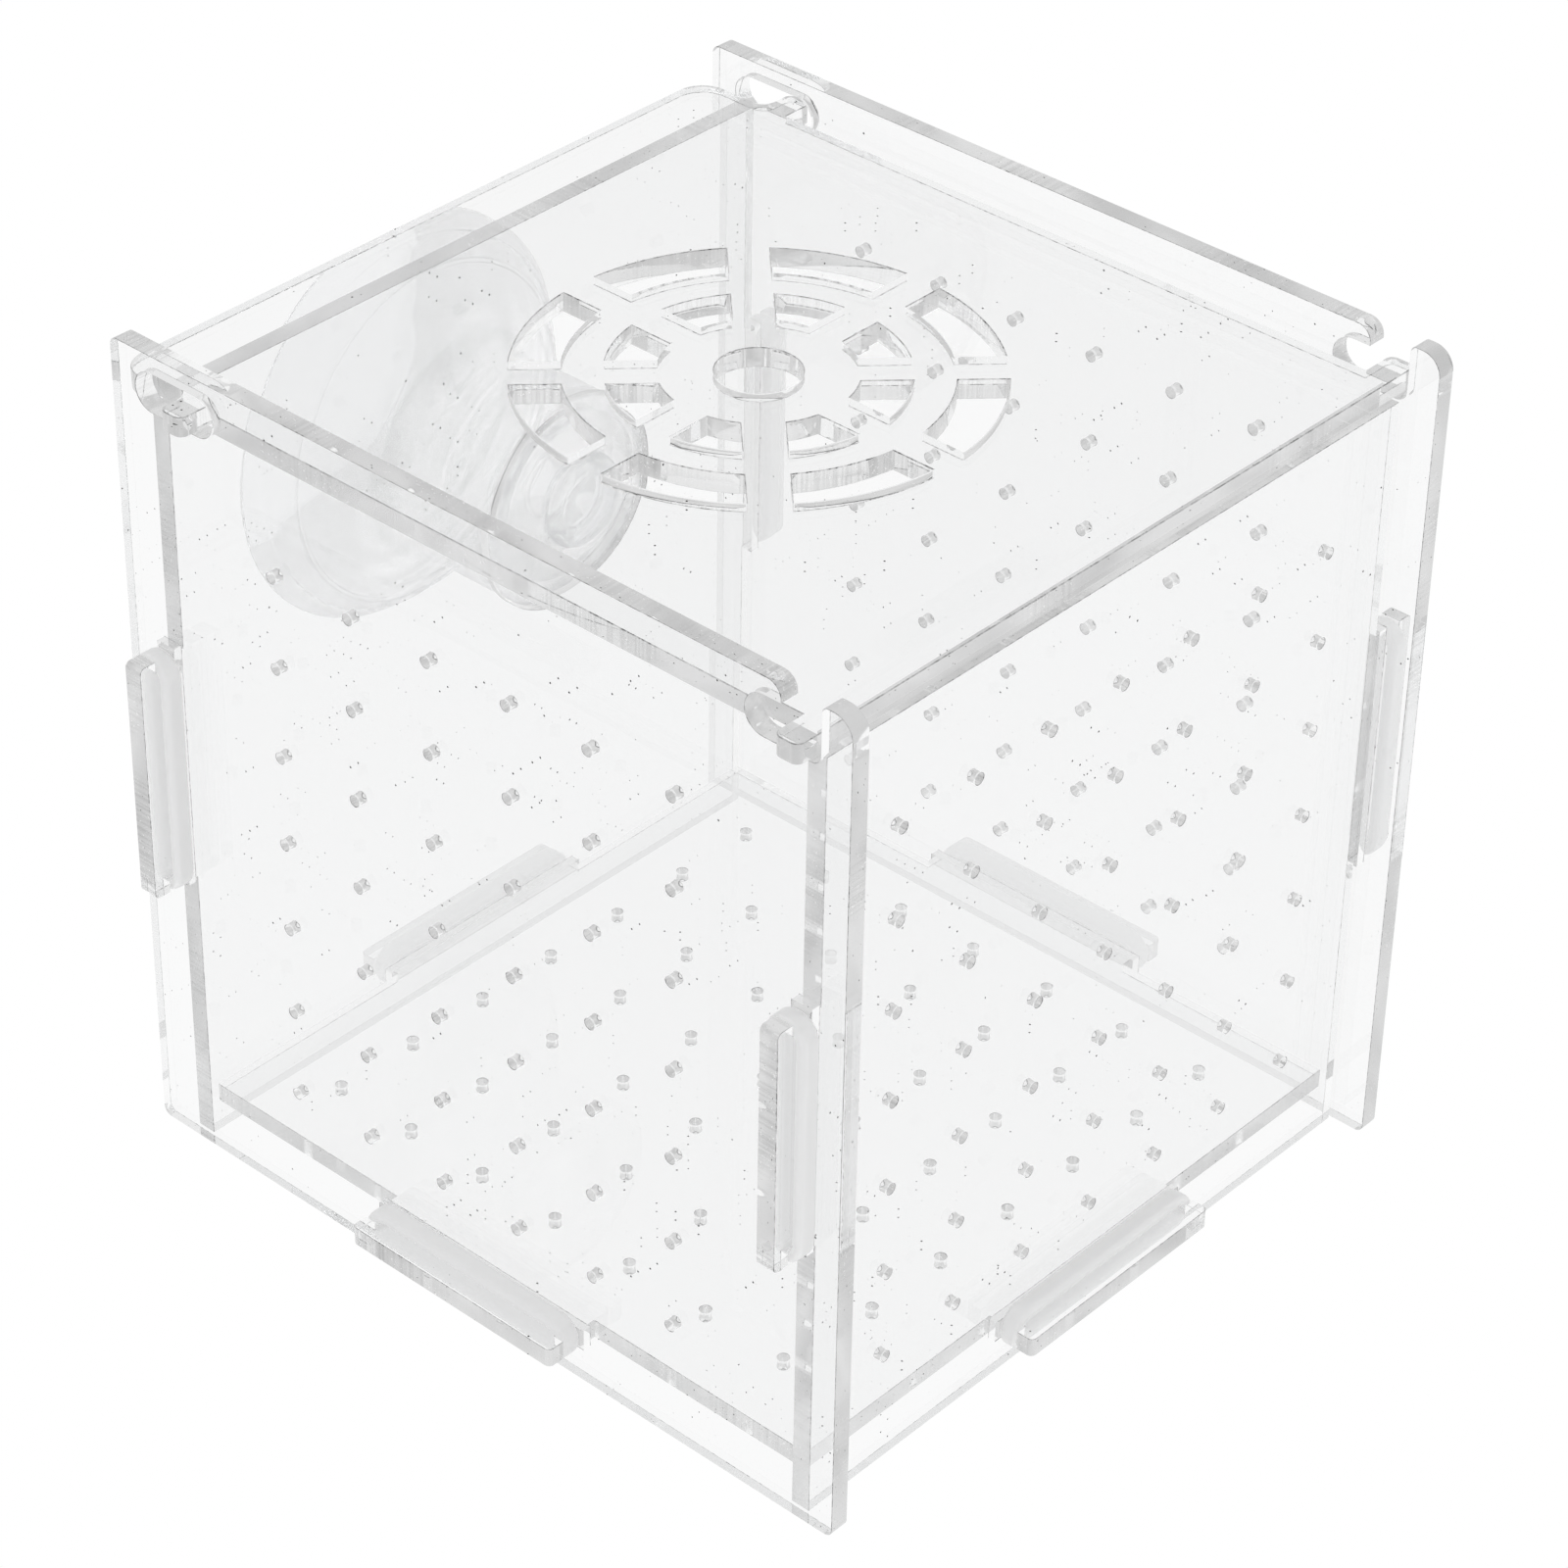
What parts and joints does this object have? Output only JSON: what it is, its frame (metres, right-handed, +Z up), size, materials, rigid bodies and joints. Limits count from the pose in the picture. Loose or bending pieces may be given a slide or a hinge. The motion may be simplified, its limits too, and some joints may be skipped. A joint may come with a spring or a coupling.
{
  "type": "queen cage",
  "caption": "Clear acrylic cube cage for live bees or insects: vented plates joined by T-tabs and silicone bands, a slotted lid that tips open, and a clear suction cup on its side.",
  "frame": {"origin": "centre of the footprint on the ground, taken over the whole object with its tabs and suction cup", "axes": "+Z up, -Y towards the front plate, +X from the suction cup towards the plain right side"},
  "size_m": [0.141, 0.116, 0.1154],
  "materials": {
    "clear_acrylic": "clear, polished faces and laser-cut edges",
    "white_silicone": "translucent satin",
    "clear_pvc": "clear, soft and glossy"
  },
  "bodies": {
    "box": {"front_panel": "clear_acrylic", "back_panel": "clear_acrylic", "left_panel": "clear_acrylic", "right_panel": "clear_acrylic", "floor_panel": "clear_acrylic", "band_left_front": "white_silicone", "band_left_back": "white_silicone", "band_right_front": "white_silicone", "band_right_back": "white_silicone", "band_floor_front": "white_silicone", "band_floor_back": "white_silicone", "band_floor_left": "white_silicone", "band_floor_right": "white_silicone"},
    "lid": {"lid": "clear_acrylic"},
    "suction_cup": {"suction_cup": "clear_pvc"}
  },
  "joints": [
    {"name": "lid_tilt", "type": "hinge", "parent": "box", "child": "lid", "pos_m": [-0.04025, 0, 0.1077], "axis": [0, -1, 0], "range_deg": [0, 16]},
    {"name": "cup_swivel", "type": "hinge", "parent": "box", "child": "suction_cup", "pos_m": [-0.04025, 0.0158, 0.0645], "axis": [1, 0, 0], "continuous": true}
  ]
}
